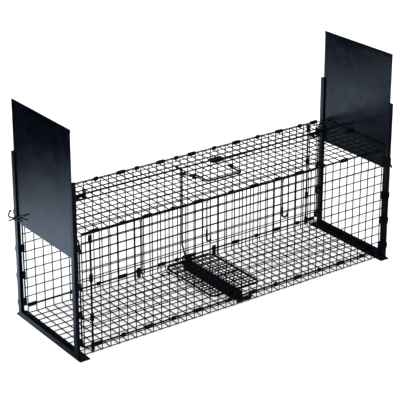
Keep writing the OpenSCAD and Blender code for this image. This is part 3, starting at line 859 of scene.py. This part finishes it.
def handle_bail(bm):
    """Wire handle with its ends turned outward into the eyes."""
    low, high = box_mm("handle_bail")
    wire_r, half_width, corner = 2.5, 53.0, 3.5
    z, y, end = (low.z + high.z) / 2, low.y + wire_r, low.x
    half = rounded([(end, HANDLE_Y, z), (-half_width, HANDLE_Y, z), (-half_width, y, z), (0, y, z)],
                   corner, 6)
    path = half[:-1] + [Vector((-p.x, p.y, p.z)) for p in half[-2::-1]]
    tube(bm, path, wire_r, 14)


def handle_eyes(bm):
    """A strap over each end of the handle, with two feet welded to the deck."""
    rng = random.Random(47)
    radius, sheet = 3.3, DECK + 0.6
    bow = arc((0, DECK + 6, 0), radius, -52, 232, 16)
    leg = rounded([(14, sheet, 0), (4.0, sheet, 0), bow[0]], 1.4, 3)[:-1]
    line = leg + bow + [Vector((-p.x, p.y, 0)) for p in leg[::-1]]
    for x in (-66, 58):
        strap(bm, line, THIN_SHEET, lambda a, b, w: Vector((w, HANDLE_Y + a, b)), x, x + 8)
        for y in (-12.5, 12.5):
            weld(bm, (x + 4, HANDLE_Y + y, DECK + 0.7), (2.6, 1.8, 0.9), rng)


# ---- end frame, modelled at the left end ----


def post(bm, rng, side):
    """U-channel post, open toward the other post."""
    low, high = box_mm("left_rear_post")
    t = SHEET
    x0, x1 = low.x + t / 2, high.x - t / 2
    back = high.y - t / 2
    line = rounded([(x0, low.y, 0), (x0, back, 0), (x1, back, 0), (x1, low.y, 0)], 2.0)
    strap(bm, line, t, lambda a, b, w: Vector((a, side * b, w)), low.z, high.z, 8)
    for x in (low.x + 2, high.x - 2):
        weld(bm, (x, side * (high.y - 0.5), low.z + 0.5), (2.4, 1.6, 1.4), rng)


def sill(bm, rng):
    """Flat foot under both posts, with the door's channel on it between them."""
    low, high = box_mm("left_sill")
    t, post_w, half_length = SHEET, 10, 129.8
    plate(bm, rectangle((low.x, low.y), (high.x, high.y), 3), [], t, Matrix.Identity(4))
    x0, x1, base = low.x + t / 2, low.x + post_w - t / 2, t + t / 2
    line = rounded([(x0, high.z, 0), (x0, base, 0), (x1, base, 0), (x1, high.z, 0)], 2.0)
    strap(bm, line, t, lambda a, b, w: Vector((a, w, b)), -half_length, half_length, 8)
    for y in (-118, -60, 0, 60, 118):
        weld(bm, (low.x + 10.4, y + rng.uniform(-3, 3), 1.9), (1.2, 5.5, 1.0), rng)


def cross_rod(bm, rng):
    """Round bar between the posts, welded to both."""
    low, high = box_mm("left_cross_rod")
    x, z = (low.x + high.x) / 2, (low.z + high.z) / 2
    steps = [low.y + (high.y - low.y) * i / 8 for i in range(9)]
    tube(bm, [(x, y, z) for y in steps], 2.5, 14)
    for s in (-1, 1):
        for lift in (-1.8, 1.8):
            weld(bm, (-489.6, s * 131.3, z + lift), (1.5, 2.0, 1.6), rng)


def catch(bm, rng):
    """Wire wound five times round the cross rod, its end turned up into a loop."""
    x, y, z = -CROSS_X, -21.0, 325.0
    turns, steps, radius, pitch = 5, 14, 4.6, 2.7
    count = turns * steps
    path = []
    for i in range(count + 1):
        a = 2 * math.pi * i / steps + math.pi / 2
        along = pitch * turns * (i / count - 0.5)
        path.append(Vector((x + radius * math.cos(a), y + along, z + radius * math.sin(a))))
    loop = arc((x, y, z + 10.7), 5.8, -40, 285, 16, u=(0, 1, 0), v=(0, 0, 1))
    path.append(Vector((x + 0.2, y + 5.4, z + radius + 1.4)))
    tube(bm, path[1:] + loop, 1.2, 10)


def frame_ring(bm, y, z, height, rng):
    """A strap round the corner pin or lock rod, and on round the outside of the post."""
    radius, proud, inner, outer = 3.4, 8.2, -489.4, -499.0
    side = 1 if y > 0 else -1
    bow = [(p.x, p.y) for p in arc((-PIN_X, 0, 0), radius, -90, 90, 10)]
    near = [(inner, -radius), *bow, (inner, radius)]
    around = rounded([(inner, radius, 0), (inner, proud, 0), (outer, proud, 0)], 1.2, 3)
    line = near + [(p.x, p.y) for p in around[1:]]
    strap(bm, line, 1.4, lambda a, b, w: Vector((a, y + side * b, w)), z, z + height)
    for b in (-radius - 0.4, radius + 0.4):
        weld(bm, (inner - 0.3, y + side * b, z + height / 2), (0.9, 0.9, height * 0.36), rng)
    weld(bm, (outer, y + side * proud, z + height / 2), (1.4, 1.0, height * 0.40), rng)


def hinge_clips(bm, rng):
    """The rings that swing on the corner pin."""
    for n in RING_CELLS:
        frame_ring(bm, SIDE_Y, (n + 0.5) * CELL - RING_H / 2, RING_H, rng)


def lock_rings(bm, rng):
    """The rings that the lock rod slides in."""
    for n in RING_CELLS:
        frame_ring(bm, -SIDE_Y, (n + 0.5) * CELL, LOCK_RING_H, rng)


def lock_rod(bm, rng):
    """Upright rod with its top bent toward the post as a finger grip."""
    low, high = box_mm("left_lock_rod")
    x, y, middle = high.x - PIN_R, (low.y + high.y) / 2, 160 + rng.uniform(-20, 20)
    corners = [(x, y, low.z), (x, y, middle), (x, y, LOCK_HIGH), (x - 5.4, y, LOCK_HIGH + 10)]
    tube(bm, rounded(corners, 7, 6), PIN_R, 14)


def latch_lug(bm, rng):
    """A rivet through the post's outer flange, with a collar and a domed head."""
    low, high = box_mm("left_latch_lug")
    length = high.x - low.x
    profile = ((0, 3.8), (0.6, 4.0), (0.8, 3.6), (0.85, 2.0), (length - 1.2, 2.0),
               (length - 1.15, 3.6), (length - 0.6, 3.4), (length - 0.15, 2.4), (length, 1.2))
    turned(bm, (high.x, LATCH_Y, LATCH_Z), (-1, 0, 0), profile, 24)


def latch(bm, finger, rng):
    """Latch wire: an eye round the rivet, two prongs across the door, a tail, and a finger
    end that reaches past the post and ends in a bead."""
    low, high = box_mm("left_latch")
    centre = Vector(((low.x + high.x) / 2, LATCH_Y, LATCH_Z))
    plane = {"u": (0, 1, 0), "v": (0, 0, 1)}
    r, fall = 1.9, -0.54
    tail = min(30, finger)

    def at(y, z):
        return centre + Vector((0, y, z))

    tube(bm, arc(centre, 4.0, 0, 345, 23, **plane), 1.75, 12, closed=True)
    bow = rng.uniform(-0.5, 0.5)
    tube(bm, rounded([at(-3.8, 2.0), at(-26, 14 + bow), at(-50, 27)], 20, 4), r, 12)
    tube(bm, [at(3.8, -2.0), at(tail / 2, fall * tail / 2), at(tail, fall * tail)], r, 12)
    tube(bm, rounded([at(-4.2, 0.7), at(-22, 3.4 - bow), at(-40, 7)], 20, 4), r, 12)
    tube(bm, rounded([at(4.2, -0.6), at(finger, -7), at(finger - 16, 13)], 4, 6), r, 12)
    bead = ((-3.2, 1.2), (-2.2, 2.5), (0, 2.95), (2.2, 2.5), (3.2, 1.2))
    turned(bm, at(finger - 16, 13), (0, -0.62, 0.78), bead, 14)


def latches():
    """Both latch wires. The right one's finger is shorter, since none shows in the photo."""
    for node, finger, seed in (("left_latch", 38, 11), ("right_latch", 13, 23)):
        bm = bmesh.new()
        latch(bm, finger, random.Random(seed))
        piece(node + "_look", node, bm, turn=node == "right_latch")


# ---- doors ----


def door_sheet(bm, seed):
    """Drop door: sheet with a closed hem along its top and bottom edges, faintly buckled."""
    low, high = box_mm("left_door")
    t, hem, half, margin, held = 0.9, 9.0, 0.52, 1.2, 40.0
    middle = (low.x + high.x) / 2
    face, back = middle - half, middle + half
    count = 26
    first, length = low.z + margin, high.z - low.z - 2 * margin
    rise = [(face, first + length * i / count) for i in range(count + 1)]
    turn_low = [(p.x, p.y) for p in arc((middle, low.z + 1.0, 0), half, 0, -180, 6)]
    turn_high = [(p.x, p.y) for p in arc((middle, high.z - 1.0, 0), half, 180, 0, 6)]
    line = [(back, low.z + hem), *turn_low, *rise, *turn_high, (back, high.z - hem)]
    strap(bm, line, t, lambda a, b, w: Vector((a, w, b)), low.y, high.y, 24)
    for v in bm.verts:
        inset = min(v.co.y - low.y, high.y - v.co.y, held) / held
        broad = 0.55 * ripple(v.co.y, v.co.z, seed, 130.0)
        small = 0.25 * ripple(v.co.y, v.co.z, seed + 4, 55.0)
        v.co.x += (broad + small) * inset


def doors():
    """Both doors, with a socket where each pull rod ends. The right one is made at the left
    end and turned."""
    for node, seed, socket_y in (("left_door", 3, LEFT_ROD_Y), ("right_door", 9, -RIGHT_TIP_Y)):
        bm = bmesh.new()
        door_sheet(bm, seed)
        socket(bm, socket_y)
        piece(node + "_look", node, bm, turn=node == "right_door")


def socket(bm, y):
    """Raised ring on a door's inner face that takes the tip of a pull rod."""
    ring = arc((-494.55, y, ROD_Z), 3.7, 0, 345, 23, u=(0, 1, 0), v=(0, 0, 1))
    tube(bm, ring, 0.5, 8, closed=True)


# ---- the whole trap ----


def build_trap():
    """Every piece of the trap: the cage, what moves on it, and then both ends."""
    show("floor_tray", floor_tray)
    show("front_panel", side_panel, 0.0, -1)
    show("rear_panel", side_panel, 0.0, 1)
    show("top_panel", top_panel)
    show("long_clips_top", hinge_sleeves, FINE, LONG_CELLS, LONG_SLEEVE, TOP_HINGE_Z, 1)
    show("short_clips_top", hinge_sleeves, FINE, SHORT_CELLS, SHORT_SLEEVE, TOP_HINGE_Z, 2)
    show("long_clips_bottom", hinge_sleeves, FINE, LONG_CELLS, LONG_SLEEVE, FLOOR_HINGE_Z, 3)
    show("short_clips_bottom", hinge_sleeves, FINE, SHORT_CELLS, SHORT_SLEEVE, FLOOR_HINGE_Z, 4)
    for node, radius in (("left_hinge_pin", PIN_R), ("right_hinge_pin", PIN_R),
                         ("front_panel_rod", PANEL_ROD_R), ("rear_panel_rod", PANEL_ROD_R)):
        show(node, upright, 0.0, node, radius)
    show_both_ends("front_lock_hooks", "rear_lock_hooks", lock_hooks, FINE)
    for node, build, bevel in (
            ("panel_rod_clips", panel_rod_clips, FINE), ("front_hanging_hooks", hanging_hooks, 0.0),
            ("rear_floor_hooks", floor_hooks, BROAD), ("treadle_axle", treadle_axle, 0.0),
            ("treadle_bearings", treadle_bearings, BROAD), ("treadle_stop", treadle_stop, 0.0),
            ("left_rod_guide", left_rod_guide, FINE), ("right_rod_guide", right_rod_guide, FINE),
            ("trip_rod_eye", trip_rod_eye, FINE), ("lever_pivot", lever_pivot, FINE),
            ("handle_eyes", handle_eyes, FINE), ("treadle_mesh", treadle_mesh, 0.0),
            ("treadle_border", treadle_border, 0.0), ("treadle_channel", treadle_channel, BROAD),
            ("trip_rod", trip_rod, 0.0), ("trip_lever", trip_lever, BROAD),
            ("left_pull_rod", left_pull_rod, 0.0), ("right_pull_rod", right_pull_rod, 0.0),
            ("handle_bail", handle_bail, 0.0)):
        show(node, build, bevel)
    show_both_ends("left_rear_post", "right_front_post", lambda bm, rng: post(bm, rng, 1), BROAD)
    show_both_ends("left_front_post", "right_rear_post", lambda bm, rng: post(bm, rng, -1), BROAD)
    for name, build, bevel in (
            ("sill", sill, BROAD), ("cross_rod", cross_rod, 0.0), ("catch", catch, 0.0),
            ("hinge_clips", hinge_clips, FINE), ("lock_rings", lock_rings, FINE),
            ("lock_rod", lock_rod, 0.0), ("latch_lug", latch_lug, 0.0)):
        show_both_ends("left_" + name, "right_" + name, build, bevel)
    latches()
    doors()


# ---- studio ----


def add_camera():
    """Camera from the front left, above the trap, with a long lens, so that the cage's
    corners fall where they do in the photo."""
    data = bpy.data.cameras.new("camera")
    data.sensor_width = 36.0
    data.lens = 130.55
    data.shift_y = -0.15
    data.clip_end = 50
    camera = bpy.data.objects.new("camera", data)
    bpy.context.scene.collection.objects.link(camera)
    yaw, pitch = 0.6238, 0.3593
    flat = math.cos(pitch)
    forward = Vector((math.sin(yaw) * flat, math.cos(yaw) * flat, -math.sin(pitch)))
    camera.location = (-2.0589, -2.8148, 1.7230)
    camera.rotation_mode = "QUATERNION"
    camera.rotation_quaternion = forward.to_track_quat("-Z", "Y")
    bpy.context.scene.camera = camera


def add_light(name, kind, place, target, strength, spread):
    """A soft light at a place, facing a target. spread is a panel's side in metres, or the
    angle in degrees that a sun fills."""
    data = bpy.data.lights.new(name, kind)
    data.energy = strength
    if kind == "SUN":
        data.angle = math.radians(spread)
    else:
        data.size = spread
    light = bpy.data.objects.new(name, data)
    bpy.context.scene.collection.objects.link(light)
    light.location = place
    light.rotation_mode = "QUATERNION"
    light.rotation_quaternion = (Vector(target) - Vector(place)).to_track_quat("-Z", "Y")
    return light


def add_sky():
    """White behind the trap, and only a faint blue-grey for the light that falls on it."""
    world = bpy.data.worlds.new("studio")
    bpy.context.scene.world = world
    world.use_nodes = True
    tree = world.node_tree
    seen, lit = tree.nodes["Background"], tree.nodes.new("ShaderNodeBackground")
    seen.inputs["Color"].default_value = (1.0, 1.0, 1.0, 1)
    seen.inputs["Strength"].default_value = 1.25
    lit.inputs["Color"].default_value = (0.70, 0.85, 1.0, 1)
    lit.inputs["Strength"].default_value = 0.05
    mix, path = tree.nodes.new("ShaderNodeMixShader"), tree.nodes.new("ShaderNodeLightPath")
    tree.links.new(path.outputs["Is Camera Ray"], mix.inputs[0])
    tree.links.new(lit.outputs[0], mix.inputs[1])
    tree.links.new(seen.outputs[0], mix.inputs[2])
    tree.links.new(mix.outputs[0], tree.nodes["World Output"].inputs["Surface"])


def stage_plane(name, size, z, material):
    """A square plane of the studio, not part of the trap."""
    bm = bmesh.new()
    bmesh.ops.create_grid(bm, x_segments=1, y_segments=1, size=size)
    mesh = bpy.data.meshes.new(name)
    bm.to_mesh(mesh)
    bm.free()
    mesh.materials.append(material)
    plane = bpy.data.objects.new(name, mesh)
    plane.location.z = z
    bpy.context.scene.collection.objects.link(plane)
    return plane


def add_studio():
    """Sky, pale floor, the glow under it that only shiny metal sees, and three soft lights."""
    bpy.context.scene.view_settings.view_transform = "Standard"
    add_sky()
    ground = CAD_BOX[0].z - 0.0002
    floor = stage_plane("studio_floor", 9.0, ground, pale_floor())
    floor.visible_glossy = False
    bounce = stage_plane("studio_bounce", 2.2, ground - 0.002, bounce_glow())
    bounce.visible_camera = bounce.visible_diffuse = bounce.visible_shadow = False
    key = add_light("key", "SUN", (-1.6, -2.2, 3.4), (0, 0, 0), 2.3, 50)
    back = add_light("back", "SUN", (1.8, 1.6, 3.2), (0, 0, 0), 1.5, 60)
    key.visible_glossy = back.visible_glossy = False
    add_light("softbox", "AREA", (-1.9, -1.9, 2.6), (0, 0, 0.2), 11, 1.6)


build_trap()
add_camera()
add_studio()
